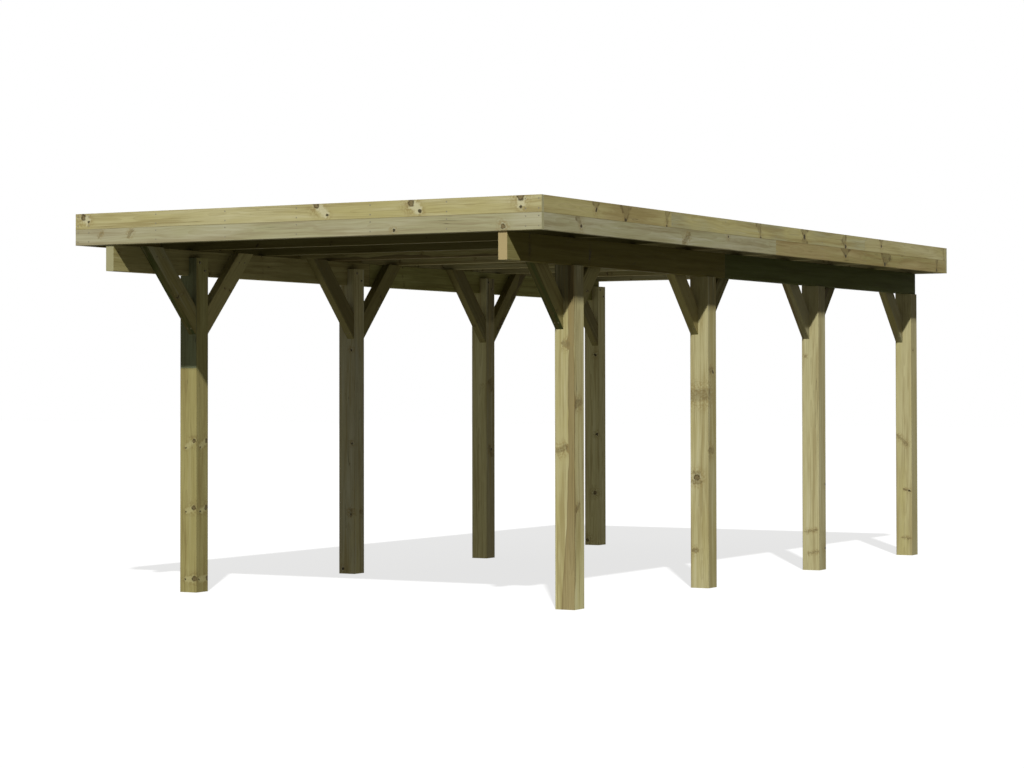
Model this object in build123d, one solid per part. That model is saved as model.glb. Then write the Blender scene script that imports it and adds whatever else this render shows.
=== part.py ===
from build123d import *
import os
from math import radians, sin, tan

# Freestanding single carport of planed, pressure-treated softwood with a flat roof.
# Two rows of posts carry a side beam each. Every post head is halved on its outer
# side, so that the beam sits in the notch. Knee braces stiffen the posts along the
# beams. Rafters lie across both beams, ribbed sheets lie on the rafters, and two
# rows of fascia boards close the roof all round.
#
# Millimetres. X runs to the right along the front, Y towards the back, Z up.
# The origin is on the ground under the centre of the roof.

# ---- roof outline ----
ROOF_WIDTH = 3200           # over the side fascia boards
ROOF_LENGTH = 6400          # over the front and rear fascia boards
ROOF_TOP = 2318             # top of the fascia above the ground

# ---- posts ----
POST = 124                  # square section
POSTS_PER_ROW = 4
POST_PITCH = 1808           # along Y, from post to post
ROW_SPACING = 2655          # across, between the two rows' centre lines
FRONT_OVERHANG = 766        # from the roof's front to the first posts
NOTCH_DEPTH = 67            # taken off the outer side of the post head
TONGUE_HEIGHT = 110         # what is left of the head, above the beam's underside

# ---- side beams ----
BEAM_THICKNESS = 56
BEAM_HEIGHT = 158
BEAM_SETBACK = 12           # the front end stands this far behind the fascia's face

# ---- knee braces ----
BRACE_THICKNESS = 54
BRACE_WIDTH = 120
BRACE_LEAN = 43.5           # degrees off the post
BRACE_FOOT = 1603           # height of the brace's lowest point, on the post

# ---- rafters ----
RAFTERS = 9
RAFTER_THICKNESS = 56
RAFTER_HEIGHT = 118

# ---- fascia boards ----
BOARD_THICKNESS = 27
BOARD_HEIGHT = 94.75
BOARD_GAP = 0.5             # fine joint between the lower and the upper board
BOARD_ROUND = 1             # rounded outer arrises
UPPER_JOINTS = (2, 6)       # the side boards butt over these rafters
LOWER_JOINTS = (4,)

# ---- ribbed roof sheets ----
SHEET_THICKNESS = 1.5
RIB_PITCH = 72
RIB_HEIGHT = 18
RIB_CREST = 28
RIB_FLANK = 9               # width of each sloping side
RIBS_PER_SHEET = 15         # neighbouring sheets share one rib, where they lap
SHEETS = 3
SHEET_REAR_GAP = 40         # open strip in front of the rear fascia, for the water

ARRIS = 2                   # eased edges of posts, beams, braces and rafters
FIT = 1                     # sheet edges stand this far off the fascia

# ---- derived heights and places ----
FASCIA_HEIGHT = 2 * BOARD_HEIGHT + BOARD_GAP
EAVES = ROOF_TOP - FASCIA_HEIGHT        # underside of fascia and rafters, top of the beams
BEAM_BOTTOM = EAVES - BEAM_HEIGHT
HALF_WIDTH = ROOF_WIDTH / 2
FRONT = -ROOF_LENGTH / 2
REAR = ROOF_LENGTH / 2
POST_FACES = [FRONT + FRONT_OVERHANG + i * POST_PITCH for i in range(POSTS_PER_ROW)]
BEAM_REAR = POST_FACES[-1] + POST
POST_INNER = (ROW_SPACING - POST) / 2
NOTCH_FACE = POST_INNER + POST - NOTCH_DEPTH
FIRST_RAFTER = FRONT + BOARD_THICKNESS + RAFTER_THICKNESS / 2
LAST_RAFTER = BEAM_REAR - RAFTER_THICKNESS / 2
RAFTER_PITCH = (LAST_RAFTER - FIRST_RAFTER) / (RAFTERS - 1)
RAFTER_LINES = [FIRST_RAFTER + i * RAFTER_PITCH for i in range(RAFTERS)]
INNER_HALF_WIDTH = HALF_WIDTH - BOARD_THICKNESS


def block(x, y, z):
    """A square-edged block between two limits along each axis."""
    size = [abs(high - low) for low, high in (x, y, z)]
    middle = [(low + high) / 2 for low, high in (x, y, z)]
    return Pos(*middle) * Box(*size)


def timber(x, y, z, grain):
    """A planed timber, with the four edges along its grain eased."""
    stick = block(x, y, z)
    return chamfer(stick.edges().filter_by(grain), ARRIS)


def mirrored(shape, side):
    """Everything on the sides is drawn on the right and mirrored to the left."""
    return shape if side == "right" else mirror(shape, about=Plane.YZ)


def post(face):
    """A post whose head is halved on the outer side, leaving a tongue inside."""
    outer = POST_INNER + POST
    top = BEAM_BOTTOM + TONGUE_HEIGHT
    shaft = timber((POST_INNER, outer), (face, face + POST), (0, top), Axis.Z)
    notch = block((NOTCH_FACE, outer + 1), (face - 1, face + POST + 1), (BEAM_BOTTOM, top + 1))
    return shaft - notch


def side_beam():
    """The beam seated in the notches, from under the front fascia to the last post."""
    x = (NOTCH_FACE, NOTCH_FACE + BEAM_THICKNESS)
    return timber(x, (FRONT + BEAM_SETBACK, BEAM_REAR), (BEAM_BOTTOM, EAVES), Axis.Y)


def brace(face, towards):
    """A knee brace from a post's face up along the inner side of the beam.

    It leans away from the post to the front (-1) or to the rear (+1). Its foot is
    cut plumb against the post and its head level under the rafters.
    """
    rise = EAVES - BRACE_FOOT
    stick = Box(BRACE_THICKNESS, BRACE_WIDTH, 3 * rise)
    stick = chamfer(stick.edges().filter_by(Axis.Z), ARRIS)
    plumb_cut = BRACE_WIDTH / sin(radians(BRACE_LEAN))
    x = NOTCH_FACE - BRACE_THICKNESS / 2
    stick = Pos(x, face, BRACE_FOOT + plumb_cut / 2) * Rot(-BRACE_LEAN * towards, 0, 0) * stick
    reach = sorted((face, face + towards * 2 * rise))
    room = block((0, HALF_WIDTH), reach, (BRACE_FOOT - 1, EAVES))
    return stick & room


def rafter(line):
    """A rafter lying on both side beams, from side fascia to side fascia."""
    half = RAFTER_THICKNESS / 2
    x = (-INNER_HALF_WIDTH, INNER_HALF_WIDTH)
    return timber(x, (line - half, line + half), (EAVES, EAVES + RAFTER_HEIGHT), Axis.X)


def row_heights(row):
    """Bottom and top of the lower or the upper row of fascia boards."""
    bottom = EAVES if row == "lower" else EAVES + BOARD_HEIGHT + BOARD_GAP
    return bottom, bottom + BOARD_HEIGHT


def side_board(start, end, row):
    """One length of the right-hand fascia, between the front and rear boards."""
    board = block((INNER_HALF_WIDTH, HALF_WIDTH), (start, end), row_heights(row))
    long_edges = board.edges().filter_by(Axis.Y)
    return fillet(long_edges.group_by(Axis.X)[-1], BOARD_ROUND)


def end_board(row):
    """The front fascia board, over the full width, with rounded outer arrises."""
    board = block((-HALF_WIDTH, HALF_WIDTH), (FRONT, FRONT + BOARD_THICKNESS), row_heights(row))
    return fillet(board.faces().sort_by(Axis.Y)[0].edges(), BOARD_ROUND)


def rib_points(middle):
    """Underside of one rib: foot, shoulder, shoulder, foot. The lean tells the two
    sides apart, because the upper skin moves out on each side of a rib."""
    crest = RIB_CREST / 2
    foot = crest + RIB_FLANK
    return [(middle - foot, 0, -1), (middle - crest, RIB_HEIGHT, -1),
            (middle + crest, RIB_HEIGHT, 1), (middle + foot, 0, 1)]


def ribbed_sheet(points):
    """A roof sheet with this underside, laid along Y on top of the rafters."""
    slope = Vector(RIB_FLANK, RIB_HEIGHT).get_angle(Vector(1, 0))
    spread = SHEET_THICKNESS * tan(radians(slope) / 2)
    upper = [(x + lean * spread, z + SHEET_THICKNESS) for x, z, lean in points]
    lower = [(x, z) for x, z, lean in points]
    section = make_face(Polyline(*lower, *reversed(upper), close=True))
    start = FRONT + BOARD_THICKNESS + FIT
    end = REAR - BOARD_THICKNESS - SHEET_REAR_GAP
    sheet = extrude(Plane.XZ.offset(-start) * section, -(end - start))
    return Pos(0, 0, EAVES + RAFTER_HEIGHT) * sheet


def outer_sheet():
    """The left sheet. Its last rib stops on the crest, under the middle sheet."""
    ribs = [-(SHEETS * (RIBS_PER_SHEET - 1) / 2 - i) * RIB_PITCH for i in range(RIBS_PER_SHEET)]
    points = [(-INNER_HALF_WIDTH + FIT, 0, 0)]
    for middle in ribs:
        points += rib_points(middle)
    crest_end = points[-2][0] - 2 * SHEET_THICKNESS
    return ribbed_sheet(points[:-2] + [(crest_end, RIB_HEIGHT, 0)])


def middle_sheet():
    """The middle sheet, whose outermost ribs lap over those of its neighbours."""
    reach = (RIBS_PER_SHEET - 1) / 2
    slope = RIB_HEIGHT / RIB_FLANK
    angle = Vector(RIB_FLANK, RIB_HEIGHT).get_angle(Vector(1, 0))
    spread = SHEET_THICKNESS * tan(radians(angle) / 2)
    raised = RIB_HEIGHT + SHEET_THICKNESS
    rise, shoulder, far_shoulder, foot = rib_points(-reach * RIB_PITCH)
    lap = [(rise[0] - spread, SHEET_THICKNESS, -1), (shoulder[0] - spread, raised, -1),
           (far_shoulder[0] - SHEET_THICKNESS / slope, raised, 1), foot]
    points = list(lap)
    for i in range(1, RIBS_PER_SHEET - 1):
        points += rib_points((i - reach) * RIB_PITCH)
    points += [(-x, z, -lean) for x, z, lean in reversed(lap)]
    return ribbed_sheet(points)


def keep(shape, name):
    export_step(shape, f"parts/{name}.step")


os.makedirs("parts", exist_ok=True)

for side in ("left", "right"):
    keep(mirrored(side_beam(), side), f"side_beam_{side}")
    for number, face in enumerate(POST_FACES, 1):
        keep(mirrored(post(face), side), f"post_{side}_{number}")
        keep(mirrored(brace(face, -1), side), f"brace_{side}_{number}_front")
        if number < POSTS_PER_ROW:
            keep(mirrored(brace(face + POST, 1), side), f"brace_{side}_{number}_rear")
    for row, joints in (("lower", LOWER_JOINTS), ("upper", UPPER_JOINTS)):
        stops = [FRONT + BOARD_THICKNESS, *(RAFTER_LINES[i] for i in joints), REAR - BOARD_THICKNESS]
        for number, (start, end) in enumerate(zip(stops, stops[1:]), 1):
            keep(mirrored(side_board(start, end, row), side), f"fascia_{side}_{row}_{number}")

for row in ("lower", "upper"):
    keep(end_board(row), f"fascia_front_{row}")
    keep(mirror(end_board(row), about=Plane.XZ), f"fascia_rear_{row}")

for number, line in enumerate(RAFTER_LINES, 1):
    keep(rafter(line), f"rafter_{number}")

keep(outer_sheet(), "roof_sheet_left")
keep(middle_sheet(), "roof_sheet_middle")
keep(mirror(outer_sheet(), about=Plane.YZ), "roof_sheet_right")
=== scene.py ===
import bmesh
import bpy
import random
from math import atan2, cos, pi, radians, sin, tan
from mathutils import Matrix, Vector


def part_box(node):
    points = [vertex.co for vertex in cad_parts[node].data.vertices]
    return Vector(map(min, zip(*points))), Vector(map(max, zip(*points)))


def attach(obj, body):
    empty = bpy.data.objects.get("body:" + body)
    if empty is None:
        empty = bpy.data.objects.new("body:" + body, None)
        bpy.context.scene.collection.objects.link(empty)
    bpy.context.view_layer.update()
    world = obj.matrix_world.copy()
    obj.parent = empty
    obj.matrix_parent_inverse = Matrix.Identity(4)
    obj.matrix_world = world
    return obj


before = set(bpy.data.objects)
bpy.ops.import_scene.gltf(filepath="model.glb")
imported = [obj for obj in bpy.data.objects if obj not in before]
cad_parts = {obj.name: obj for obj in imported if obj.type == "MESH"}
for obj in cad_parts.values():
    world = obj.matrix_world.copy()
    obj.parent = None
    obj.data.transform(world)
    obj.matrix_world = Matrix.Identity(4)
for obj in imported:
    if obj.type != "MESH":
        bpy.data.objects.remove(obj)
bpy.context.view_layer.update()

# ---- view ----
CAMERA_PLACE = Vector((8.311, -15.479, 1.275))
CAMERA_HEADING = radians(29.32)         # turned to the left of straight back
CAMERA_TILT = radians(1.114)            # looking up
CAMERA_ROLL = radians(-0.087)
CAMERA_LENS = 90.87
CAMERA_SENSOR = 36.0
CAMERA_SHIFT_Y = -0.0465
CAMERA_REACH = 200.0

# ---- light ----
TO_SUN = Vector((0.589, -1.0, 0.956))
SUN_STRENGTH = 3.85
SUN_SPREAD = radians(1.2)
SKY_FILL = 0.16
SKY_TINT = (1.0, 0.98, 0.90)
FLOOR_HALF = 60.0
FLOOR_SHADE = (0.32, 0.32, 0.32)        # the floor as it is seen: its diffuse colour,
FLOOR_SHOWN = 0.75                      # and an even white on top
FLOOR_GLOW = 0.235                      # the floor as a light: even, thrown up at the object
FLOOR_GLOW_TINT = (1.0, 0.98, 0.84)
WHITE = (1.0, 1.0, 1.0)

# ---- colours of the treated softwood, linear ----
STRAW = (0.440, 0.395, 0.175)
PALE = (0.480, 0.440, 0.232)
# painted light: lighter than the wood's own tone, for the last two left posts in shade
LIT_BLOND = (0.605, 0.562, 0.290)
GREY = (0.425, 0.405, 0.262)
MOSS = (0.375, 0.360, 0.205)
TAN = (0.365, 0.300, 0.135)
OLIVE = (0.330, 0.292, 0.115)
# These four tones are painted shade, darker than the wood's own tone, for timbers that stand deep in shade;
# the last, on the right beam, is partly that beam's own darker wood and partly painted shade.
SHADE_DARK_OLIVE = (0.140, 0.124, 0.042)
SHADE_BROWN_OLIVE = (0.230, 0.203, 0.078)
SHADE_GREEN = (0.062, 0.080, 0.022)
DEEP_OLIVE_AND_SHADE = (0.110, 0.092, 0.018)
CHANCE_TONES = [STRAW, GREY, MOSS, TAN, OLIVE]
STREAK_SHARE = (0.64, 0.57, 0.50)       # of the timber's own colour, in its dark streaks
HALO_SHARE = (1.24, 1.28, 1.55)         # and in the pale wood round a knot
SIDE_SHARE = (0.59, 0.57, 0.64)         # and on its shaded faces
HEART_BROWN = (0.235, 0.180, 0.078)
STAIN_GOLD = (0.290, 0.215, 0.085)
KNOT_BROWN = (0.118, 0.083, 0.036)
KNOT_DARK = (0.030, 0.022, 0.010)
LIMB_BROWN = (0.175, 0.140, 0.065)
CHECK_DARK = (0.060, 0.048, 0.025)
END_GRAIN = (0.490, 0.385, 0.190)
WOOD_SPECULAR = 0.04                    # higher, the white background shows as a sheen

# ---- colours of roof and fasteners, linear ----
PLASTIC = (0.034, 0.031, 0.014)
PLASTIC_DUST = (0.080, 0.072, 0.040)
PLASTIC_SPECULAR = 0.15
RUBBER = (0.018, 0.018, 0.018)
RUBBER_DUST = (0.070, 0.066, 0.055)
STEEL = (0.150, 0.125, 0.070)
DULL_SHARE = (0.55, 0.55, 0.55)         # of the steel's colour, where it has dulled
ZINC = (0.300, 0.280, 0.200)            # the screws drawn in the fascia's material

# How far each mask covers what lies under it in a timber's colour, and how high it
# stands in the relief.
SHARES = {
    "heart": 0.80, "heart edge": 0.35, "dark streak": 0.65, "pale streak": 0.45, "dark line": 0.60,
    "halo": 0.75, "stain": 0.75, "ring": 0.24, "fibre": 0.12, "end grain": 0.90, "end ring": 0.45,
    "limb": 0.50, "limb rim": 0.40, "wedge": 0.45, "wedge arm": 0.70, "knot": 0.88, "knot rim": 0.75,
    "eye": 0.90, "check": 0.60, "arris": 0.45, "shadowed screw seat": 0.50,
}
RELIEF = {
    "fibre": 0.50, "ring": 0.35, "knot": 0.50, "check": -1.5, "shadowed screw seat": -0.8, "screw recess": -2.0,
}

# ---- growth of a timber, metres ----
RING_WIDTHS = (0.0035, 0.006)
RING_BULGE = 0.016              # of the rings round a knot
PITH_SCATTER = (-0.02, 0.02)
PITH_REACH = (0.05, 0.08)       # off the middle, in a timber sawn beside the pith
HEARTS = (0.0, 0.04)            # radius of the heartwood
POST_HEARTS = (0.015, 0.035)
BRANCH_RISE = (4, 15)           # degrees
KNOT_RADII = (0.005, 0.013)
THIN_SHARE = 0.5                # of a knot's radius, in braces, beams and rafters
SMALL_KNOT = 0.010              # below this radius a knot is an eye, dark all over
WEDGE_EYE = 0.009               # radius of the eye at a wedge's foot
KNOT_REACH = 0.5                # longer than any timber is wide
KNOT_GROWTH = 0.035             # length over which a knot thickens
LIMB_GROWTH = 0.01
PAST_END = 4.0                  # radii that a point past a knot's end counts as off it
FIRST_WHORL = (0.05, 0.4)
WHORL_STEP = (0.35, 0.75)
WHORL_SIZES = (1, 2, 2, 3)
WHORL_SCATTER = (-0.02, 0.02)
WHORL_MARKS = 12                # no new whorl on a timber with this many
KNOT_CHANCE = 0.6               # that a mark is a knot and not a limb
# width of the painted shade along each arris
ARRIS_SHADE_WIDTH = 0.008

# The two sapwood colours a timber drifts between, by the start of its name. The
# first entry that fits counts, and a timber without one draws its own.
# The dark olive tones on the first three rafters, the right beam and most braces are painted shade, and the
# blond on the last two left posts is painted light.
TONES = {
    "fascia_front_upper": (STRAW, PALE),
    "fascia_front_lower": (GREY, MOSS),
    "fascia_right_upper_1": (STRAW, TAN),
    "fascia_right_upper_2": (STRAW, MOSS),
    "fascia_right_upper_3": (PALE, STRAW),
    "fascia_right_lower_1": (MOSS, GREY),
    "fascia_right_lower_2": (TAN, OLIVE),
    "post_right_1": (STRAW, PALE),
    "post_right_2": (STRAW, PALE),
    "post_right_3": (PALE, PALE),
    "post_right_4": (PALE, STRAW),
    "post_left_1": (OLIVE, OLIVE),
    "post_left_2": (PALE, GREY),
    "post_left": (LIT_BLOND, LIT_BLOND),
    "side_beam_right": (DEEP_OLIVE_AND_SHADE, DEEP_OLIVE_AND_SHADE),
    "side_beam_left": (OLIVE, STRAW),
    "brace_right_1": (SHADE_BROWN_OLIVE, SHADE_BROWN_OLIVE),
    "brace_right_2_rear": (SHADE_DARK_OLIVE, SHADE_BROWN_OLIVE),
    "brace_right_3_rear": (SHADE_DARK_OLIVE, SHADE_DARK_OLIVE),
    "brace_right_2": (OLIVE, OLIVE),
    "brace_right": (MOSS, OLIVE),
    "brace_left_1_front": (OLIVE, MOSS),
    "brace_left_1_rear": (STRAW, STRAW),
    "brace_left": (SHADE_BROWN_OLIVE, SHADE_BROWN_OLIVE),
    "rafter_1": (SHADE_DARK_OLIVE, SHADE_DARK_OLIVE),
    "rafter_2": (SHADE_DARK_OLIVE, SHADE_DARK_OLIVE),
    "rafter_3": (SHADE_DARK_OLIVE, SHADE_DARK_OLIVE),
    "rafter_4": (OLIVE, STRAW),
    "rafter": (STRAW, PALE),
}
# Painted shade: how much darker the sideways faces of a timber are than the others, by
# the start of its name. Below zero the others are dark green. The last entry that fits counts.
SIDE_SHADES = {
    "brace": 0.7,
    "brace_left_1_front": -1.0,
    "brace_left_1_rear": 0.0,
    "brace_left_2_rear": 0.0,
    "brace_left_3_rear": 0.0,
    "brace_right_1_front": -1.0,
    "brace_right_1_rear": 0.0,
    "post_right_1": 0.0,
    "post_right_2": 0.3,
    "post_right_3": 0.3,
    "post_right_4": 0.4,
    "post_left_1": 0.15,
    "post_left_2": 0.0,
    "post_left_3": 1.0,
    "post_left_4": 0.2,
}
CHANCE_SIDE_SHADES = (0.0, 0.2)
# Painted shade under the eaves: what is left of a post's tone there, on the front and
# on the sideways faces.
EAVES_SHADE_SHARES = {
    "post_right_1": (0.38, 0.42),
    "post_right_2": (0.85, 0.42),
    "post_right_3": (0.90, 0.42),
    "post_right_4": (0.95, 0.60),
    "post_left_3": (0.90, 0.38),
}
EAVES_SHADE_FADE = (1.735, 1.785)             # heights between which it sets in
# Pith in the section and radius of the heartwood, first at the butt and then above
# the butt's swell, for the timbers where they are given.
PITHS = {
    "post_right_1": ((0.024, -0.085), 0.047, (0.048, -0.066), 0.024),
    "side_beam_right": ((0.0, 0.11), 0.0, (0.0, 0.11), 0.0),
    "brace_left_1_front": ((0.0, 0.11), 0.0, (0.0, 0.11), 0.0),
}
BUTT_SWELL = 0.65                       # length of the swell
BUTT_TINTS = {"post_right_1": (1.28, 1.32, 1.42)}     # paler towards the ground
# Each side beam is in two lengths that meet behind the second post. The rear length
# is from another tree: tint over the beam's tones, and a jump along the grain.
BEAM_JOINT = -0.340
REAR_TINTS = {"side_beam_right": (0.44, 0.58, 0.38), "side_beam_left": (0.85, 0.91, 0.74)}
OTHER_TREE = 7.3
# Painted sunlight and shade: tints over a timber's tones, on its front and on its
# sideways faces where the sun under the front fascia does not reach them, and where it does.
SUN_TINTS = {
    "side_beam_right": (WHITE, WHITE, (2.2, 2.35, 4.1)),
    "post_left_1": ((0.68, 0.85, 1.20), (1.18, 1.24, 1.27), WHITE),
}
SUN_EDGE = 0.006
GREEN_ENDS = ("fascia", "side_beam_left")       # timbers whose end grain has turned to MOSS

# Marks listed by timber and face, in metres of the shared frame. A knot has
# its place along the grain, its place across the face and its radius.
KNOTS = {
    "fascia_front_lower": {"front": [(0.66, 2.15, 0.008), (1.36, 2.15, 0.012)]},
    "fascia_right_lower_1": {"right": [(-0.77, 2.21, 0.009)]},
    "post_right_2": {"front": [(0.70, 1.31, 0.017)], "right": [(1.365, -0.555, 0.009)]},
    "post_right_3": {"right": [(0.59, 1.295, 0.007), (0.15, 1.29, 0.008)]},
    "post_right_4": {"front": [(0.485, 1.37, 0.006)], "right": [(1.55, 3.03, 0.006)]},
    "post_left_2": {"front": [(1.53, -1.29, 0.007), (0.89, -1.285, 0.007), (0.41, -1.295, 0.007),
                              (0.035, -1.36, 0.009)]},
    "post_left_3": {"right": [(0.81, 1.255, 0.009)]},
    "post_left_4": {"front": [(1.53, -1.29, 0.009), (0.89, -1.28, 0.009), (0.42, -1.30, 0.013),
                              (0.04, -1.365, 0.014)]},
}
# A limb that leaves the log at a slant shows a dark head and a dark eye with pale
# wood between them: the head's and the eye's (along, across) and the head's radius.
EYED_KNOTS = {
    "fascia_front_upper": {"front": [((-1.54, 2.295), (-1.50, 2.265), 0.018),
                                     ((0.14, 2.31), (0.21, 2.25), 0.017),
                                     ((0.77, 2.30), (0.83, 2.255), 0.019),
                                     ((1.47, 2.31), (1.47, 2.255), 0.020)]},
    "post_left_1": {"front": [((0.94, -1.285), (0.90, -1.345), 0.012),
                              ((0.525, -1.285), (0.50, -1.345), 0.013),
                              ((0.085, -1.28), (0.08, -1.35), 0.013)],
                    "right": [((0.94, -2.33), (0.90, -2.395), 0.013),
                              ((0.525, -2.33), (0.50, -2.395), 0.014),
                              ((0.085, -2.32), (0.08, -2.405), 0.013)]},
}
# A limb cut along its length in a board shows as a brown wedge with a dark foot: the
# foot's and the head's (along, across) and half the width at the head.
WEDGES = {
    "fascia_right_upper_1": {"right": [((-2.56, 2.268), (-2.56, 2.325), 0.050),
                                       ((-2.19, 2.228), (-2.185, 2.320), 0.065),
                                       ((-1.65, 2.225), (-1.64, 2.325), 0.030)]},
    "fascia_right_upper_2": {"right": [((-0.27, 2.222), (-0.31, 2.325), 0.035),
                                       ((0.445, 2.262), (0.445, 2.315), 0.055),
                                       ((0.445, 2.272), (0.445, 2.222), 0.050),
                                       ((1.17, 2.235), (1.13, 2.300), 0.050),
                                       ((1.56, 2.228), (1.545, 2.285), 0.022)]},
    "fascia_right_upper_3": {"right": [((1.84, 2.272), (1.84, 2.325), 0.035),
                                       ((3.14, 2.225), (3.12, 2.300), 0.014)]},
    "fascia_right_lower_1": {"right": [((-2.74, 2.17), (-2.79, 2.225), 0.025)]},
    "fascia_right_lower_2": {"right": [((1.17, 2.172), (1.17, 2.230), 0.085),
                                       ((1.91, 2.145), (1.93, 2.230), 0.110),
                                       ((2.98, 2.140), (2.98, 2.230), 0.022)]},
}
# Slanting limbs also show as long brown smears: from (along, across) to (along,
# across) and half the width.
LIMBS = {
    "fascia_front_lower": {"front": [((-1.43, 2.165), (-1.40, 2.20), 0.006),
                                     ((-1.21, 2.165), (-1.17, 2.21), 0.008)]},
    "fascia_right_lower_1": {"right": [((-1.43, 2.13), (-1.33, 2.20), 0.012)]},
    "post_right_1": {"front": [((1.525, 1.31), (1.515, 1.36), 0.013),
                               ((0.90, 1.27), (0.93, 1.34), 0.013)],
                     "right": [((1.17, -2.43), (1.185, -2.34), 0.016),
                               ((0.56, -2.42), (0.60, -2.37), 0.009)]},
    "post_right_2": {"front": [((1.215, 1.24), (1.225, 1.40), 0.026),
                               ((0.73, 1.28), (0.725, 1.33), 0.010),
                               ((0.67, 1.27), (0.665, 1.34), 0.010),
                               ((0.235, 1.265), (0.24, 1.31), 0.009)],
                     "right": [((1.38, -0.61), (1.38, -0.56), 0.013),
                               ((0.87, -0.62), (0.865, -0.55), 0.016)]},
    "post_right_3": {"front": [((1.475, 1.285), (1.485, 1.295), 0.006),
                               ((0.265, 1.28), (0.28, 1.37), 0.006),
                               ((0.11, 1.30), (0.13, 1.38), 0.005)]},
    "post_right_4": {"front": [((0.91, 1.27), (0.83, 1.36), 0.008),
                               ((0.50, 1.32), (0.485, 1.38), 0.005),
                               ((0.135, 1.31), (0.13, 1.38), 0.005)]},
    "post_left_2": {"front": [((0.39, -1.295), (0.44, -1.290), 0.010)],
                    "right": [((0.42, -0.56), (0.42, -0.53), 0.013)]},
    "post_left_3": {"right": [((1.33, 1.22), (1.25, 1.27), 0.018),
                              ((0.84, 1.22), (0.76, 1.26), 0.012)]},
}

BRACE_WIDTH = 0.120             # of the stick, which a leaning brace's box doesn't tell

# ---- screws ----
BOARD_SCREW = 0.004             # radius of a countersunk head in the fascia
BOARD_SCREW_ROW = 0.027         # from a board's centre line
FRONT_PITCH = 0.50              # along the front and rear boards
JOINT_MARGIN = 0.018            # from a board's end
FOOT_SCREW_RISE = 0.050         # up along a brace from its foot
FOOT_SCREW_STEP = 0.013         # either side of the brace's middle
HEAD_SCREW_BACK = 0.130         # from the end of a brace's head, towards the post
HEAD_SCREW_DROP = 0.060
HEAD_SCREW_STEP = 0.030
TONGUE_SCREWS = ((-0.028, 0.030), (0.028, 0.080))     # off the post's middle, below its top
SCREWED_RIBS = slice(1, None, 3)
WIDEST_CREST = 0.035            # edges further apart have a valley between them
# Profiles of the screws' outer parts: (radius, height, depth of the six lobes).
COUNTERSUNK = [(0.0050, -0.0008, 0), (0.0050, 0.0003, 0), (0.0046, 0.0006, 0),
               (0.0019, 0.0006, 0.12), (0.0016, 0.0001, 0.12)]
COACH_COLLAR = [(0.0085, -0.0010, 0), (0.0085, 0.0012, 0), (0.0060, 0.0014, 0)]
COACH_HEX = [(0.0060, 0.0014, 0), (0.0060, 0.0062, 0), (0.0052, 0.0070, 0)]
WASHER = [(0.0095, -0.0005, 0), (0.0095, 0.0012, 0), (0.0080, 0.0022, 0), (0.0050, 0.0026, 0)]
ROOF_COLLAR = [(0.0062, 0.0020, 0), (0.0062, 0.0028, 0), (0.0046, 0.0030, 0)]
ROOF_HEX = [(0.0046, 0.0030, 0), (0.0046, 0.0078, 0), (0.0039, 0.0084, 0)]


class Nodes:
    """Short ways to add shader nodes to one tree. The shift moves all its noise."""

    def __init__(self, tree, shift=(0.0, 0.0, 0.0)):
        self.tree = tree
        self.shift = shift

    def add(self, kind, **settings):
        node = self.tree.nodes.new(kind)
        for name, value in settings.items():
            setattr(node, name, value)
        return node

    def link(self, source, socket):
        """Links a socket, or sets a plain value on it."""
        if isinstance(source, bpy.types.NodeSocket):
            self.tree.links.new(source, socket)
        else:
            socket.default_value = source

    def math(self, operation, *values):
        node = self.add("ShaderNodeMath", operation=operation)
        for value, socket in zip(values, node.inputs):
            self.link(value, socket)
        return node.outputs[0]

    def product(self, *values):
        result = values[0]
        for value in values[1:]:
            result = self.math("MULTIPLY", result, value)
        return result

    def vector(self, operation, *values):
        node = self.add("ShaderNodeVectorMath", operation=operation)
        for value, socket in zip(values, node.inputs):
            self.link(value, socket)
        scalar = operation in ("DOT_PRODUCT", "LENGTH")
        return node.outputs["Value" if scalar else "Vector"]

    def split(self, place):
        """The three coordinates of a place."""
        node = self.add("ShaderNodeSeparateXYZ")
        self.link(place, node.inputs[0])
        return tuple(node.outputs)

    def ramp(self, value, low, high, start=0.0, end=1.0):
        """A smooth step of value from low to high, giving start to end."""
        node = self.add("ShaderNodeMapRange", interpolation_type="SMOOTHSTEP")
        for name, source in (("Value", value), ("From Min", low), ("From Max", high),
                             ("To Min", start), ("To Max", end)):
            self.link(source, node.inputs[name])
        return node.outputs["Result"]

    def mix(self, factor, low, high, blend="MIX"):
        node = self.add("ShaderNodeMix", data_type="RGBA", blend_type=blend)
        for index, source in ((0, factor), (6, low), (7, high)):
            if isinstance(source, tuple):
                source = (*source, 1.0)
            self.link(source, node.inputs[index])
        return node.outputs[2]

    def noises(self, place, scale, detail=2.0, roughness=0.5):
        """The outputs of a noise whose grain size differs along each axis."""
        node = self.add("ShaderNodeTexNoise")
        self.link(self.vector("MULTIPLY_ADD", place, scale, self.shift), node.inputs["Vector"])
        for name, source in (("Scale", 1.0), ("Detail", detail), ("Roughness", roughness)):
            self.link(source, node.inputs[name])
        return node.outputs

    def noise(self, *settings):
        return self.noises(*settings)["Fac"]

    def sway(self, place, scale, width):
        """A drift to and fro, over this width along each axis."""
        back = tuple(-value / 2 for value in width)
        return self.vector("MULTIPLY_ADD", self.noises(place, scale)["Color"], width, back)

    def light(self, kind, tint, strength):
        """An emission or a background of this colour and strength."""
        node = self.add(kind)
        node.inputs["Color"].default_value = (*tint, 1.0)
        node.inputs["Strength"].default_value = strength
        return node.outputs[0]

    def bump(self, height, strength, distance, shader):
        node = self.add("ShaderNodeBump")
        node.inputs["Strength"].default_value = strength
        node.inputs["Distance"].default_value = distance
        self.link(height, node.inputs["Height"])
        self.link(node.outputs["Normal"], shader.inputs["Normal"])


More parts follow.
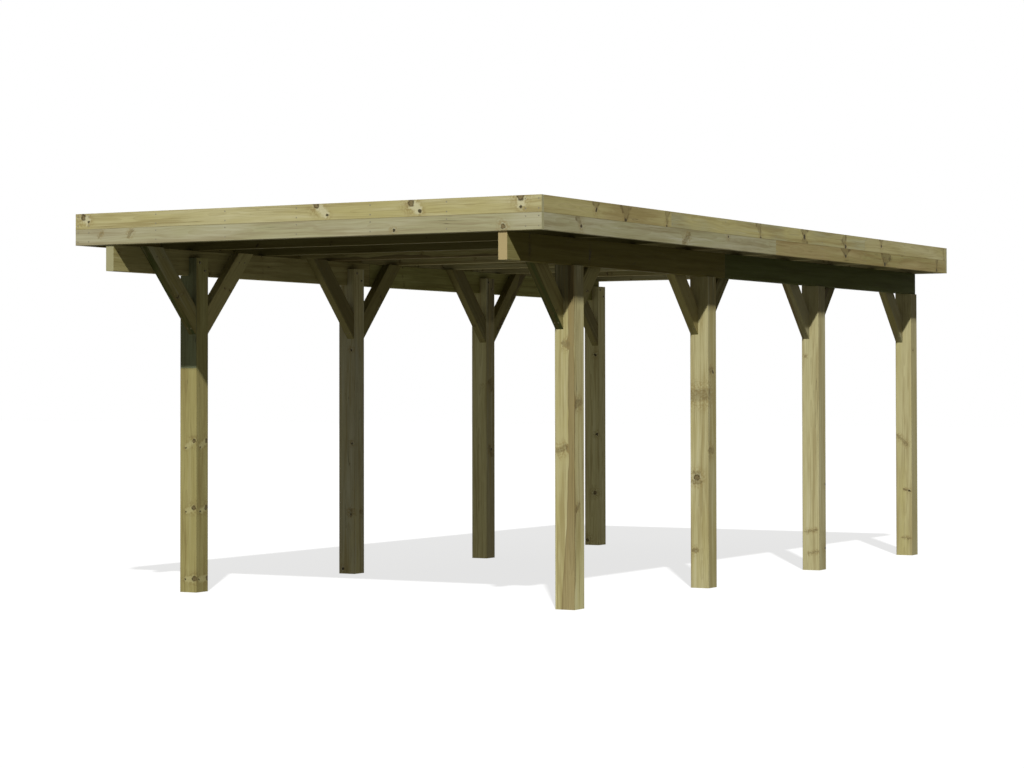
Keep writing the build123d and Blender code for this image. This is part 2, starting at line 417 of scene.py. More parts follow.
def scaled(colour, shares):
    """A colour with a share taken of each of its channels."""
    return tuple(value * share for value, share in zip(colour, shares))


def nodes_named(start):
    """The CAD nodes whose names start like this."""
    return [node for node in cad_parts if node.startswith(start)]


def knot_group():
    """How far a point is from one knot, in knot radii. The knot lies along a ray,
    thickens over its growth and ends at its length."""
    tree = bpy.data.node_groups.new("knot", "ShaderNodeTree")
    for name, kind in (("Place", "Vector"), ("Start", "Vector"), ("Ray", "Vector"),
                       ("Radius", "Float"), ("Length", "Float"), ("Growth", "Float")):
        tree.interface.new_socket(name, in_out="INPUT", socket_type=f"NodeSocket{kind}")
    tree.interface.new_socket("Distance", in_out="OUTPUT", socket_type="NodeSocketFloat")
    n = Nodes(tree)
    given = n.add("NodeGroupInput").outputs
    offset = n.vector("SUBTRACT", given["Place"], given["Start"])
    along = n.vector("DOT_PRODUCT", offset, given["Ray"])
    away = n.vector("LENGTH", n.vector("CROSS_PRODUCT", offset, given["Ray"]))
    girth = n.math("MULTIPLY", given["Radius"], n.ramp(along, 0.0, given["Growth"], 0.25, 1.0))
    before = n.ramp(along, 0.0, -0.01, 0.0, PAST_END)
    beyond = n.ramp(along, given["Length"], n.math("ADD", given["Length"], 0.02), 0.0, PAST_END)
    ends = n.math("ADD", before, beyond)
    n.link(n.math("ADD", n.math("DIVIDE", away, girth), ends), n.add("NodeGroupOutput").inputs[0])
    return tree


KNOT = knot_group()


class Timber:
    """One timber's place, grain direction and the facts of the log it came from."""

    def __init__(self, node):
        self.node = node
        self.chance = random.Random(f"carport {node}")
        self.low, self.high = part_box(node)
        self.centre = (self.low + self.high) / 2
        self.turn = self.grain_turn()
        size = self.turn.inverted() @ (self.high - self.low)
        self.section = Vector((abs(size.x), abs(size.y)))
        self.length = abs(size.z)
        if node.startswith("brace"):
            self.section = Vector((size.x, BRACE_WIDTH))
            self.length = (self.high - self.low).yz.length
            self.centre += self.turn @ Vector((0, self.lean() * BRACE_WIDTH / 2, 0))
        self.pith, self.heart, self.upper_pith, self.upper_heart = self.pick_pith()
        self.pick_colours()
        self.ring = self.chance.uniform(*RING_WIDTHS)
        self.pick_side_shade()
        self.knots, self.eyes, self.limbs, self.wedges, self.pale_limbs = [], [], [], [], []
        self.place_marks()
        if not self.knots + self.eyes + self.limbs:
            self.grow_knots()

    def lean(self):
        """Which way a brace's head leans: 1 to the front, -1 to the rear."""
        return 1 if self.node.endswith("front") else -1

    def grain_turn(self):
        """Turns the local Z axis onto the grain."""
        if self.node.startswith("brace"):
            size = self.high - self.low
            return Matrix.Rotation(self.lean() * atan2(size.y, size.z), 3, "X")
        if self.node.startswith(("rafter", "fascia_front", "fascia_rear")):
            return Matrix.Rotation(radians(90), 3, "Y")
        if self.node.startswith("post"):
            return Matrix.Identity(3)
        return Matrix.Rotation(radians(-90), 3, "X")

    def pick_pith(self):
        """Pith and radius of the heartwood at the butt, then the same higher up."""
        if self.node in PITHS:
            low, girth, high, upper_girth = PITHS[self.node]
            return Vector(low), girth, Vector(high), upper_girth
        pick = self.chance.uniform
        if self.node.startswith("post"):
            pith = Vector((pick(*PITH_SCATTER), pick(*PITH_SCATTER)))
            heart = pick(*POST_HEARTS)
            return pith, 1.2 * heart, 0.7 * pith, heart
        reach = pick(*PITH_REACH)
        if self.node.startswith("fascia"):
            outward = self.turn.inverted() @ Vector((self.centre.x, self.centre.y, 0))
            side = -Vector((outward.x, outward.y)).normalized()
            pith = side * reach + Vector((pick(*PITH_SCATTER), pick(*PITH_SCATTER)))
            return pith, 0.0, pith, 0.0
        angle = pick(0, 2 * pi)
        pith = Vector((cos(angle), sin(angle))) * reach
        heart = pick(*HEARTS)
        return pith, heart, 0.9 * pith, heart

    def pick_tones(self):
        for start, tones in TONES.items():
            if self.node.startswith(start):
                return tones
        return self.chance.sample(CHANCE_TONES, 2)

    def pick_colours(self):
        """The sapwood's two tones, and the colours of everything else that follow
        from them. On a dark timber the browns are darker too."""
        self.tones = self.pick_tones()
        self.shaded = scaled(self.tones[0], STREAK_SHARE)
        self.lightened = scaled(self.tones[1], HALO_SHARE)
        dim = min(1.0, self.tones[0][1] / STRAW[1])
        self.heartwood, self.golden, self.limb_brown, self.knot_brown = (
            scaled(brown, (dim, dim, dim)) for brown in (HEART_BROWN, STAIN_GOLD, LIMB_BROWN, KNOT_BROWN))
        self.end_grain = MOSS if self.node.startswith(GREEN_ENDS) else END_GRAIN

    def pick_side_shade(self):
        self.side_shade = self.chance.uniform(*CHANCE_SIDE_SHADES)
        for start, shade in SIDE_SHADES.items():
            if self.node.startswith(start):
                self.side_shade = shade
        self.side_tone = SHADE_GREEN if self.side_shade < 0 else scaled(self.tones[0], SIDE_SHARE)

    def place_marks(self):
        """The marks that are listed for this timber, in its own axes."""
        for face, along, across, radius in self.marks(KNOTS):
            kind = self.eyes if radius < SMALL_KNOT else self.knots
            kind.append(self.knot_at(face, (along, across), radius))
        for face, start, end, radius in self.marks(LIMBS):
            self.limbs.append(self.limb(face, start, end, radius))
        for face, foot, head, radius in self.marks(WEDGES):
            self.wedges.append(self.limb(face, foot, head, radius, growing=True))
            self.eyes.append(self.knot_at(face, foot, WEDGE_EYE + 0.05 * radius))
        for face, head, eye, radius in self.marks(EYED_KNOTS):
            self.knots.append(self.knot_at(face, head, radius))
            self.eyes.append(self.knot_at(face, eye, 0.5 * radius))
            self.pale_limbs.append(self.limb(face, head, eye, 1.3 * radius))

    def marks(self, table):
        """This timber's entries in a table of marks, each with its face in front."""
        faces = table.get(self.node, {})
        return [(face, *mark) for face, marks in faces.items() for mark in marks]

    def local(self, face, spot):
        """A spot (along, across) on a face, in the timber's own axes."""
        first, second = reversed(spot) if self.node.startswith("post") else spot
        place = (first, self.low.y, second) if face == "front" else (self.high.x, first, second)
        return self.turn.inverted() @ (Vector(place) - self.centre)

    def knot_at(self, face, spot, radius):
        return self.knot_through(self.local(face, spot), radius)

    def knot_through(self, place, radius):
        """A knot from the pith out through a point: start, ray, radius, length, growth."""
        pith = Vector((*self.pith, place.z))
        out = (place - pith).length
        rise = radians(self.chance.uniform(*BRANCH_RISE))
        start = pith - Vector((0, 0, out * tan(rise)))
        return start, (place - start).normalized(), radius, KNOT_REACH, KNOT_GROWTH

    def limb(self, face, foot, head, radius, growing=False):
        """A limb along a face, which thickens at once or all the way to its head."""
        start = self.local(face, foot)
        ray = self.local(face, head) - start
        return start, ray.normalized(), radius, ray.length, ray.length if growing else LIMB_GROWTH

    def grow_knots(self):
        """Whorls of one to three knots or limbs, every half a metre or so."""
        pick = self.chance.uniform
        stout = 1.0 if self.node.startswith(("post", "fascia")) else THIN_SHARE
        along = pick(*FIRST_WHORL) - self.length / 2
        while along < self.length / 2 and len(self.knots + self.limbs) < WHORL_MARKS:
            for _ in range(self.chance.choice(WHORL_SIZES)):
                rim = (pick(-1, 1) * self.section.x / 2, pick(-1, 1) * self.section.y / 2)
                place = Vector((*rim, along + pick(*WHORL_SCATTER)))
                kind = self.knots if pick(0, 1) < KNOT_CHANCE else self.limbs
                kind.append(self.knot_through(place, stout * pick(*KNOT_RADII)))
            along += pick(*WHORL_STEP)


def nearest_mark(n, place, marks):
    """Distance to the nearest of some knots, in radii."""
    nearest = 100.0
    for mark in marks:
        knot = n.add("ShaderNodeGroup", node_tree=KNOT)
        n.link(place, knot.inputs["Place"])
        for name, value in zip(("Start", "Ray", "Radius", "Length", "Growth"), mark):
            knot.inputs[name].default_value = value
        nearest = n.math("MINIMUM", nearest, knot.outputs["Distance"])
    return nearest


def screw_heads(n, timber, place):
    """Distance to the nearest screw of a fascia board. They stand in pairs at each
    rafter, or at an even pitch on the front and rear boards, and at each end."""
    lines = [sum(corner.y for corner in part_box(f"rafter_{number}")) / 2 for number in (1, 2)]
    on_side = timber.node.startswith(("fascia_left", "fascia_right"))
    pitch = lines[1] - lines[0] if on_side else FRONT_PITCH
    first = lines[0] - timber.centre.y if on_side else 0.0
    local_x, local_y, along = n.split(place)
    across = local_y if on_side else local_x
    to_end = n.math("SUBTRACT", timber.length / 2, n.math("ABSOLUTE", along))
    inner = n.math("PINGPONG", n.math("SUBTRACT", along, first), pitch / 2)
    inner = n.math("ADD", inner, n.math("LESS_THAN", to_end, 2 * JOINT_MARGIN))
    end = n.math("ABSOLUTE", n.math("SUBTRACT", to_end, JOINT_MARGIN))
    row = n.math("ABSOLUTE", n.math("SUBTRACT", n.math("ABSOLUTE", across), BOARD_SCREW_ROW))
    flat = n.add("ShaderNodeCombineXYZ")
    n.link(n.math("MINIMUM", inner, end), flat.inputs[0])
    n.link(row, flat.inputs[1])
    outward = 1 if timber.centre.x + timber.centre.y > 0 else -1
    axis = (outward, 0, 0) if on_side else (0, outward, 0)
    normal = n.add("ShaderNodeNewGeometry").outputs["True Normal"]
    hidden = n.math("LESS_THAN", n.vector("DOT_PRODUCT", normal, axis), 0.9)
    return n.math("ADD", n.vector("LENGTH", flat.outputs[0]), hidden)


def blank_material(name, shift=(0.0, 0.0, 0.0)):
    """A new material, its nodes and its surface shader."""
    material = bpy.data.materials.new(name)
    material.use_nodes = True
    tree = material.node_tree
    return material, Nodes(tree, shift), tree.nodes["Principled BSDF"]


class Softwood:
    """Planed, pressure-treated softwood for one timber. The find methods work out
    places, distances and masks, and the paint method lays the masks over each other."""

    def __init__(self, timber):
        self.timber = timber
        shift = tuple(timber.chance.uniform(0, 50) for _ in range(3))
        self.material, self.n, self.shader = blank_material(f"softwood_{timber.node}", shift)
        self.find_place()
        self.find_faces()
        self.find_knots()
        self.find_growth()
        self.find_grain()
        self.paint()

    def find_place(self):
        """The place in the timber's own axes, with Z along the grain. Bent follows the
        grain's waves, and warped makes the knots' outlines uneven."""
        n, timber = self.n, self.timber
        self.world = n.add("ShaderNodeTexCoord").outputs["Object"]
        mapping = n.add("ShaderNodeMapping", vector_type="TEXTURE")
        n.link(self.world, mapping.inputs["Vector"])
        mapping.inputs["Location"].default_value = timber.centre
        mapping.inputs["Rotation"].default_value = timber.turn.to_euler()
        whole = self.place = mapping.outputs["Vector"]
        self.along = n.split(whole)[2]
        if timber.node in REAR_TINTS:
            self.past_joint = n.math("SUBTRACT", self.along, BEAM_JOINT - timber.centre.y)
            self.rear = n.math("GREATER_THAN", self.past_joint, 0.0)
            self.place = n.vector("MULTIPLY_ADD", self.rear, (0, 0, OTHER_TREE), whole)
        self.bent = n.vector("ADD", self.place, n.sway(self.place, (4, 4, 1.6), (0.036, 0.036, 0)))
        self.warped = n.vector("ADD", whole, n.sway(self.place, (38, 38, 26), (0.026, 0.026, 0.026)))

    def find_faces(self):
        """Sawn ends, faces that look sideways, and the arrises, which carry painted shade."""
        n, section = self.n, self.timber.section
        normal = n.add("ShaderNodeNewGeometry").outputs["True Normal"]
        grain = tuple(self.timber.turn @ Vector((0, 0, 1)))
        self.sawn = n.ramp(n.math("ABSOLUTE", n.vector("DOT_PRODUCT", normal, grain)), 0.55, 0.65)
        to_the_side = n.math("ABSOLUTE", n.vector("DOT_PRODUCT", normal, (1, 0, 0)))
        self.sideways = n.ramp(to_the_side, 0.7, 0.9)
        corner = n.vector("DIVIDE", n.vector("ABSOLUTE", self.place), (*(section / 2), 1.0))
        across, deep = n.split(corner)[:2]
        self.arris = n.product(n.ramp(across, 1 - ARRIS_SHADE_WIDTH / section.x, 1.0),
                               n.ramp(deep, 1 - ARRIS_SHADE_WIDTH / section.y, 1.0))

    def find_knots(self):
        """Knots with their rims, halos and stains, eyes, limbs and wedges. The
        distances to them are in their own radii."""
        n, timber = self.n, self.timber
        ragged = n.math("MULTIPLY_ADD", n.noise(self.place, (90, 90, 90), 3.0), 0.8, -0.4)
        knot, self.eye, limb, pale_limb = (
            n.math("ADD", nearest_mark(n, self.warped, marks), ragged)
            for marks in (timber.knots, timber.eyes, timber.limbs, timber.pale_limbs))
        half_ragged = n.product(ragged, 0.5)
        self.wedge = n.math("ADD", nearest_mark(n, self.warped, timber.wedges), half_ragged)
        self.pale = n.ramp(pale_limb, 1.5, 0.6)
        self.core = n.ramp(knot, 1.10, 0.85)
        ring = n.product(n.ramp(knot, 1.35, 1.05), n.ramp(knot, 0.55, 0.95))
        self.rim = n.product(ring, n.ramp(ragged, -0.12, 0.08))
        self.inner_rings = n.math("PINGPONG", n.product(knot, 2.6), 1.0)
        either = n.math("MINIMUM", knot, self.eye)
        any_mark = n.math("MINIMUM", either, limb)
        self.hard = n.ramp(either, 1.10, 0.85)
        self.halo = n.math("MAXIMUM", n.product(n.ramp(either, 2.2, 1.2), 0.5), self.pale)
        self.stain = n.product(n.ramp(any_mark, 5.5, 1.6), n.ramp(ragged, -0.10, 0.10))
        self.bulge = n.ramp(any_mark, 4.0, 0.8, 0.0, RING_BULGE)
        broken = n.ramp(n.noise(self.place, (30, 30, 30), 2.0), 0.42, 0.58)
        self.limb_heart = n.ramp(limb, 2.1, 0.2)
        self.limb_rim = n.product(n.ramp(limb, 1.6, 1.0), n.ramp(limb, 0.3, 0.9), broken)
        self.wedge_arms = n.product(n.ramp(self.wedge, 1.45, 1.0), n.ramp(self.wedge, 0.35, 0.85), broken)

    def find_growth(self):
        """Growth rings about the pith, which bulge round the knots, and heartwood."""
        n, timber = self.n, self.timber
        butt = -timber.length / 2
        climb = n.ramp(self.along, butt, butt + BUTT_SWELL)
        self.foot = n.math("SUBTRACT", 1.0, climb)
        across = n.vector("MULTIPLY_ADD", self.bent, (1, 1, 0), (*(-timber.pith), 0))
        across = n.vector("MULTIPLY_ADD", climb, (*(timber.pith - timber.upper_pith), 0), across)
        reach = n.math("SUBTRACT", n.vector("LENGTH", across), self.bulge)
        self.year = n.math("POWER", n.math("FRACT", n.math("DIVIDE", reach, timber.ring)), 2.5)
        meander = n.math("MULTIPLY_ADD", n.noise(self.place, (3, 3, 3.4)), 0.05, -0.025)
        girth = n.math("MULTIPLY_ADD", climb, timber.upper_heart - timber.heart, timber.heart)
        inside = n.math("SUBTRACT", girth, n.math("ADD", reach, meander))
        self.heart = n.ramp(inside, -0.003, 0.002)
        self.heart_edge = n.product(n.ramp(inside, 0.010, 0.001), self.heart)

    def find_grain(self):
        """Slow patches, streaks and fine lines along the grain, and drying checks."""
        n = self.n
        self.patch = n.noise(self.place, (7, 7, 1.5), 3.0)
        self.streak = n.noise(self.bent, (30, 30, 1.3), 4.0, 0.6)
        self.line = n.noise(self.bent, (120, 120, 1.3), 3.0, 0.6)
        self.fibre = n.noise(self.place, (420, 420, 9), 3.0, 0.65)
        crack = n.math("ABSOLUTE", n.math("SUBTRACT", n.noise(self.place, (38, 38, 0.9), 1.0), 0.5))
        self.checks = n.product(n.ramp(crack, 0.006, 0.001), n.ramp(self.patch, 0.52, 0.62))

    def lay(self, colour, layers):
        """Lays named masks over a colour, each with a colour of its own."""
        for name, mask, tone in layers:
            colour = self.n.mix(self.n.product(mask, SHARES[name]), colour, tone)
        return colour

    def sapwood(self):
        """The timber's two tones, painted shade on its faces and under the eaves, its heartwood and its
        paler foot.
        """
        n, timber = self.n, self.timber
        colour = n.mix(n.ramp(self.patch, 0.38, 0.62), *timber.tones)
        # painted shade on the sideways faces, or below zero on the others
        in_shade = n.math("SUBTRACT", 1.0, self.sideways) if timber.side_shade < 0 else self.sideways
        colour = n.mix(n.product(in_shade, abs(timber.side_shade)), colour, timber.side_tone)
        colour = self.lay(colour, [("heart", self.heart, timber.heartwood)])
        if timber.node in BUTT_TINTS:
            colour = n.mix(self.foot, colour, BUTT_TINTS[timber.node], "MULTIPLY")
        # painted shade under the eaves
        if timber.node in EAVES_SHADE_SHARES:
            front_share, side_share = EAVES_SHADE_SHARES[timber.node]
            share = n.math("MULTIPLY_ADD", self.sideways, side_share - front_share, front_share)
            low, high = (height - timber.centre.z for height in EAVES_SHADE_FADE)
            colour = n.mix(n.ramp(self.along, low, high), colour, n.mix(share, (0, 0, 0), colour))
        return colour

    def grain_layers(self):
        n, timber = self.n, self.timber
        dark = n.mix(self.heart, timber.shaded, timber.heartwood)
        light = n.mix(self.heart, timber.lightened, timber.golden)
        fine = n.mix(self.heart, timber.shaded, timber.limb_brown)
        stained = n.product(self.stain, n.math("SUBTRACT", 1.0, self.pale))
        return (
            ("heart edge", self.heart_edge, timber.limb_brown),
            ("dark streak", n.ramp(self.streak, 0.47, 0.66), dark),
            ("pale streak", n.ramp(self.streak, 0.46, 0.30), light),
            ("dark line", n.ramp(self.line, 0.53, 0.70), fine),
            ("halo", self.halo, timber.lightened),
            ("stain", stained, n.mix(0.7, timber.shaded, timber.golden)),
            ("ring", self.year, timber.heartwood),
            ("fibre", n.ramp(self.fibre, 0.35, 0.70), timber.knot_brown),
        )

    def mark_layers(self):
        n, timber = self.n, self.timber
        ringed = n.mix(n.product(self.inner_rings, 0.5), timber.knot_brown, timber.heartwood)
        return (
            ("end grain", self.sawn, timber.end_grain),
            ("end ring", n.product(self.sawn, self.year), timber.heartwood),
            ("limb", self.limb_heart, timber.limb_brown),
            ("limb rim", self.limb_rim, timber.knot_brown),
            ("wedge", n.ramp(self.wedge, 1.3, 0.5), timber.limb_brown),
            ("wedge arm", self.wedge_arms, timber.knot_brown),
            ("knot", self.core, ringed),
            ("knot rim", self.rim, KNOT_DARK),
            ("eye", n.ramp(self.eye, 1.25, 0.75), KNOT_DARK),
            ("check", self.checks, CHECK_DARK),
            # painted shade along the arrises
            ("arris", self.arris, timber.shaded),
        )

    def sun_tint(self):
        """The tint over the tones, which changes where the sun comes in under the
        front fascia: painted sunlight and shade."""
        n = self.n
        front_tint, side_tint, sunned_tint = SUN_TINTS[self.timber.node]
        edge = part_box("fascia_front_lower")[0]
        slope = -TO_SUN.z / TO_SUN.y
        limit = edge.z + slope * edge.y
        sunned = n.ramp(n.vector("DOT_PRODUCT", self.world, (0, slope, 1)), limit, limit - SUN_EDGE)
        return n.mix(sunned, n.mix(self.sideways, front_tint, side_tint), sunned_tint)

    def paint(self):
        """Colour, roughness and relief from the masks."""
        n, node = self.n, self.timber.node
        self.colour = self.lay(self.sapwood(), self.grain_layers())
        # painted sunlight and shade under the front fascia
        if node in SUN_TINTS:
            self.colour = n.mix(1.0, self.colour, self.sun_tint(), "MULTIPLY")
        self.colour = self.lay(self.colour, self.mark_layers())
        self.rough = n.math("MULTIPLY_ADD", self.streak, 0.20, 0.62)
        self.rough = n.math("MULTIPLY_ADD", self.hard, -0.18, self.rough)
        self.relief = {"fibre": self.fibre, "ring": self.year, "knot": self.hard, "check": self.checks}
        if node in REAR_TINTS:
            self.paint_rear_length()
        if node.startswith("fascia"):
            self.paint_screws()
        n.link(self.colour, self.shader.inputs["Base Color"])
        n.link(self.rough, self.shader.inputs["Roughness"])
        self.shader.inputs["Specular IOR Level"].default_value = WOOD_SPECULAR
        height = 0.0
        for name, mask in self.relief.items():
            height = n.math("MULTIPLY_ADD", mask, RELIEF[name], height)
        n.bump(height, 0.5, 0.0008, self.shader)

    def paint_rear_length(self):
        """The tint of a side beam's rear length and the seam where it starts."""
        n = self.n
        seam = n.ramp(n.math("ABSOLUTE", self.past_joint), 0.0020, 0.0008)
        self.colour = n.mix(self.rear, self.colour, REAR_TINTS[self.timber.node], "MULTIPLY")
        self.colour = n.mix(seam, self.colour, CHECK_DARK)
        self.relief["check"] = n.math("MAXIMUM", self.checks, seam)

    def paint_screws(self):
        """A fascia board's countersunk screw heads, each with its recess darkened as painted
        shade and a dark ring of painted shadow round it."""
        n = self.n
        reach = screw_heads(n, self.timber, self.place)
        head = n.ramp(reach, BOARD_SCREW, BOARD_SCREW - 0.0004)
        recess = n.ramp(reach, 0.0017, 0.0013)
        # painted shadow in a ring round each head
        seat = n.ramp(reach, BOARD_SCREW + 0.0014, BOARD_SCREW)
        self.colour = self.lay(self.colour, [("shadowed screw seat", seat, KNOT_DARK)])
        # the head, with painted shade in its recess
        self.colour = n.mix(head, self.colour, n.mix(recess, ZINC, KNOT_DARK))
        self.rough = n.math("MULTIPLY_ADD", head, -0.25, self.rough)
        self.relief.update({"shadowed screw seat": seat, "screw recess": recess})
        n.link(n.product(head, 0.8), self.shader.inputs["Metallic"])


def roof_plastic():
    """Dark, opaque ribbed plastic with a film of dust and faint streaks down the fall."""
    material, n, shader = blank_material("ribbed_plastic")
    place = n.add("ShaderNodeTexCoord").outputs["Object"]
    dust = n.noise(place, (9, 1.2, 9), 5.0, 0.6)
    n.link(n.mix(n.ramp(dust, 0.38, 0.72, 0.0, 0.5), PLASTIC, PLASTIC_DUST), shader.inputs["Base Color"])
    n.link(n.math("MULTIPLY_ADD", dust, 0.30, 0.50), shader.inputs["Roughness"])
    shader.inputs["Specular IOR Level"].default_value = PLASTIC_SPECULAR
    n.bump(n.noise(place, (240, 240, 240)), 0.25, 0.0003, shader)
    return material


def zinc_plated_steel():
    """Zinc-plated steel, dulled in patches."""
    material, n, shader = blank_material("zinc_plated_steel")
    place = n.add("ShaderNodeTexCoord").outputs["Object"]
    dull = n.noise(place, (300, 300, 300), 4.0, 0.6)
    n.link(n.mix(n.ramp(dull, 0.40, 0.65), STEEL, scaled(STEEL, DULL_SHARE)), shader.inputs["Base Color"])
    n.link(n.math("MULTIPLY_ADD", dull, 0.3, 0.45), shader.inputs["Roughness"])
    shader.inputs["Metallic"].default_value = 0.9
    n.bump(dull, 0.2, 0.0001, shader)
    return material


def sealing_rubber():
    """Black sealing rubber under the roof screws, greyed by dust."""
    material, n, shader = blank_material("sealing_rubber")
    place = n.add("ShaderNodeTexCoord").outputs["Object"]
    dust = n.noise(place, (180, 180, 180), 4.0)
    n.link(n.mix(n.ramp(dust, 0.40, 0.70), RUBBER, RUBBER_DUST), shader.inputs["Base Color"])
    n.link(n.math("MULTIPLY_ADD", dust, 0.3, 0.55), shader.inputs["Roughness"])
    n.bump(dust, 0.3, 0.0002, shader)
    return material


def turned(mesh, profile, spot, axis, sides, slot=0):
    """Adds a closed form of rings round an axis to a bmesh, in one material slot."""
    aim = axis.to_track_quat("Z", "Y")
    rings = []
    for radius, height, lobes in profile:
        ring = []
        for k in range(sides):
            angle = 2 * pi * k / sides
            wide = radius * (1 + lobes * cos(6 * angle))
            ring.append(mesh.verts.new(spot + aim @ Vector((wide * cos(angle), wide * sin(angle), height))))
        rings.append(ring)
    faces = [mesh.faces.new(rings[-1]), mesh.faces.new(reversed(rings[0]))]
    for lower, upper in zip(rings, rings[1:]):
        faces += [mesh.faces.new((lower[k - 1], lower[k], upper[k], upper[k - 1])) for k in range(sides)]
    for face in faces:
        face.material_index = slot


def piece(name, mesh, materials):
    """Makes an object of a bmesh, which rides on the one body."""
    data = bpy.data.meshes.new(name)
    mesh.to_mesh(data)
    mesh.free()
    for material in materials:
        data.materials.append(material)
    thing = bpy.data.objects.new(name, data)
    bpy.context.collection.objects.link(thing)
    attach(thing, "root")


def inner_side(node):
    """Which way the carport's inside lies from a post or brace, and the X of the face
    that looks there."""
    low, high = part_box(node)
    return (-1, low.x) if "right" in node else (1, high.x)


def brace_screws(steel):
    """Two screws up through each brace's foot into the post and two through its head
    into the beam."""
    mesh = bmesh.new()
    for node in nodes_named("brace"):
        low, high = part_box(node)
        inward, inner_x = inner_side(node)
        size = high - low
        leaning = -1 if node.endswith("front") else 1
        post_y = high.y if leaning < 0 else low.y
        up = Vector((0, leaning * size.y, size.z)).normalized()
        under = Vector((0, leaning * up.z, -abs(up.y)))
        foot = Vector(((low.x + high.x) / 2, post_y, low.z)) + up * FOOT_SCREW_RISE
        for step in (-FOOT_SCREW_STEP, FOOT_SCREW_STEP):
            turned(mesh, COUNTERSUNK, foot + Vector((step, 0, 0)), under, 24)
        head_y = post_y + leaning * (size.y - HEAD_SCREW_BACK)
        for step in (-HEAD_SCREW_STEP, HEAD_SCREW_STEP):
            head = Vector((inner_x, head_y + step, high.z - HEAD_SCREW_DROP))
            turned(mesh, COUNTERSUNK, head, Vector((inward, 0, 0)), 24)
    piece("brace_screws", mesh, [steel])


def tongue_screws(steel):
    """Two hexagon-headed coach screws through each post's tongue into the beam."""
    mesh = bmesh.new()
    for node in nodes_named("post"):
        low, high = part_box(node)
        inward, inner_x = inner_side(node)
        for step, drop in TONGUE_SCREWS:
            spot = Vector((inner_x, (low.y + high.y) / 2 + step, high.z - drop))
            turned(mesh, COACH_COLLAR, spot, Vector((inward, 0, 0)), 24)
            turned(mesh, COACH_HEX, spot, Vector((inward, 0, 0)), 6)
    piece("beam_screws", mesh, [steel])


def rib_crests(sheet):
    """The middle of each rib's flat crest on a roof sheet, and the crests' height."""
    points = [vertex.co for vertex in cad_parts[sheet].data.vertices]
    top = max(point.z for point in points)
    edges = sorted({round(point.x, 4) for point in points if point.z > top - 0.0001})
    middles = [(a + b) / 2 for a, b in zip(edges, edges[1:]) if b - a < WIDEST_CREST]
    return middles, top


def roof_screws(steel, rubber):
    """Screws with sealing washers on every third rib, over each rafter."""
    mesh = bmesh.new()
    up = Vector((0, 0, 1))
    for sheet in ("roof_sheet_left", "roof_sheet_middle", "roof_sheet_right"):
        crests, top = rib_crests(sheet)
        for x in crests[SCREWED_RIBS]:
            for node in nodes_named("rafter"):
                low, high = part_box(node)
                spot = Vector((x, (low.y + high.y) / 2, top))
                turned(mesh, WASHER, spot, up, 16, slot=1)
                turned(mesh, ROOF_COLLAR, spot, up, 16)
                turned(mesh, ROOF_HEX, spot, up, 6)
    piece("roof_screws", mesh, [steel, rubber])


def dress(node, material):
    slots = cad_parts[node].data.materials
    slots.clear()
    slots.append(material)


def by_ray(n, lighting, shown, output):
    """Gives one shader to the rays that light the object and another to those that
    show the background."""
    path = n.add("ShaderNodeLightPath").outputs
    mirrored = n.math("MAXIMUM", path["Is Glossy Ray"], path["Is Transmission Ray"])
    either = n.add("ShaderNodeMixShader")
    n.link(n.math("MAXIMUM", path["Is Camera Ray"], mirrored), either.inputs[0])
    n.link(lighting, either.inputs[1])
    n.link(shown, either.inputs[2])
    n.link(either.outputs[0], n.add(output).inputs[0])


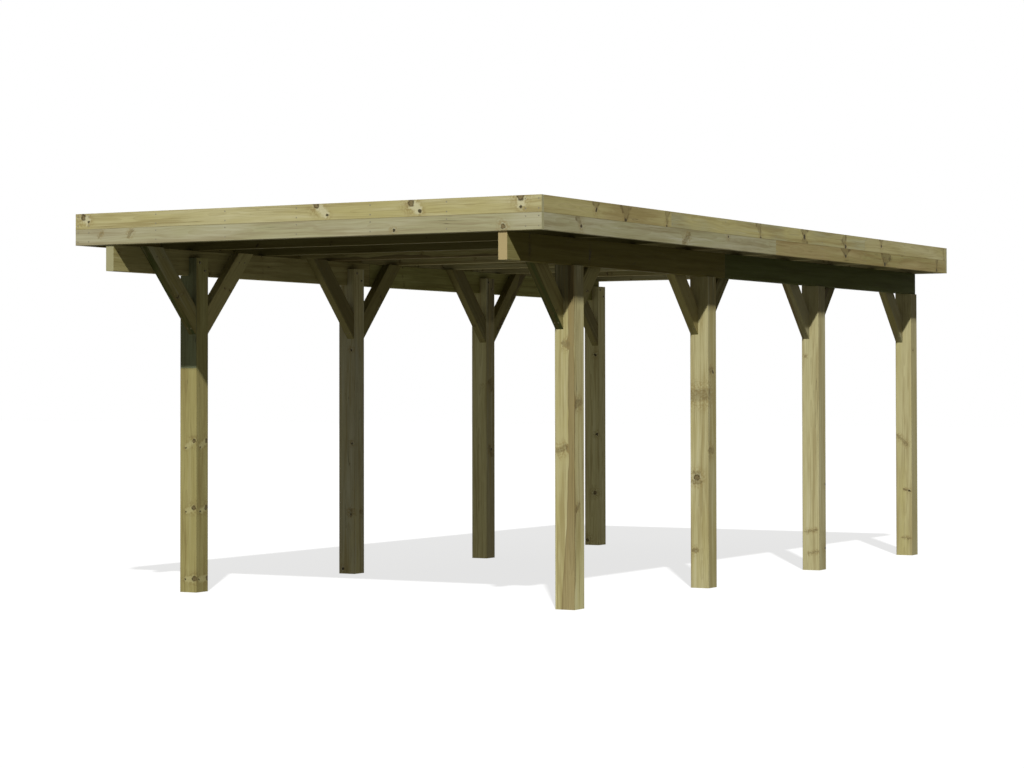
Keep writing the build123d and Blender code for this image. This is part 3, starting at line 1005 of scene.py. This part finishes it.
def white_floor():
    """A white floor that keeps the object's shadow and throws an even light back up."""
    mesh = bpy.data.meshes.new("floor")
    corners = [(x * FLOOR_HALF, y * FLOOR_HALF, 0) for x, y in ((-1, -1), (1, -1), (1, 1), (-1, 1))]
    mesh.from_pydata(corners, [], [(0, 1, 2, 3)])
    floor = bpy.data.objects.new("floor", mesh)
    bpy.context.collection.objects.link(floor)
    material = bpy.data.materials.new("floor_white")
    material.use_nodes = True
    material.node_tree.nodes.clear()
    n = Nodes(material.node_tree)
    shaded = n.add("ShaderNodeBsdfDiffuse")
    shaded.inputs["Color"].default_value = (*FLOOR_SHADE, 1.0)
    shown = n.add("ShaderNodeAddShader")
    n.link(shaded.outputs[0], shown.inputs[0])
    n.link(n.light("ShaderNodeEmission", WHITE, FLOOR_SHOWN), shown.inputs[1])
    lighting = n.light("ShaderNodeEmission", FLOOR_GLOW_TINT, FLOOR_GLOW)
    by_ray(n, lighting, shown.outputs[0], "ShaderNodeOutputMaterial")
    mesh.materials.append(material)


def sky():
    """A weak, even sky, which is white where it shows."""
    world = bpy.data.worlds.new("sky")
    bpy.context.scene.world = world
    world.use_nodes = True
    world.node_tree.nodes.clear()
    n = Nodes(world.node_tree)
    lighting = n.light("ShaderNodeBackground", SKY_TINT, SKY_FILL)
    shown = n.light("ShaderNodeBackground", WHITE, 1.0)
    by_ray(n, lighting, shown, "ShaderNodeOutputWorld")


def sun():
    light = bpy.data.lights.new("sun", "SUN")
    light.energy = SUN_STRENGTH
    light.angle = SUN_SPREAD
    lamp = bpy.data.objects.new("sun", light)
    lamp.rotation_euler = TO_SUN.to_track_quat("Z", "Y").to_euler()
    bpy.context.collection.objects.link(lamp)


def camera():
    data = bpy.data.cameras.new("camera")
    data.lens = CAMERA_LENS
    data.sensor_width = CAMERA_SENSOR
    data.shift_y = CAMERA_SHIFT_Y
    data.clip_end = CAMERA_REACH
    seat = bpy.data.objects.new("camera", data)
    upright = Matrix.Rotation(radians(90) + CAMERA_TILT, 4, "X")
    turn = Matrix.Rotation(CAMERA_HEADING, 4, "Z")
    roll = Matrix.Rotation(CAMERA_ROLL, 4, "Z")
    seat.matrix_world = Matrix.Translation(CAMERA_PLACE) @ turn @ upright @ roll
    bpy.context.collection.objects.link(seat)
    bpy.context.scene.camera = seat


steel = zinc_plated_steel()
plastic = roof_plastic()
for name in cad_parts:
    if name.startswith("roof_sheet"):
        dress(name, plastic)
    else:
        dress(name, Softwood(Timber(name)).material)
brace_screws(steel)
tongue_screws(steel)
roof_screws(steel, sealing_rubber())

camera()
sun()
sky()
white_floor()
bpy.context.scene.view_settings.view_transform = "Standard"
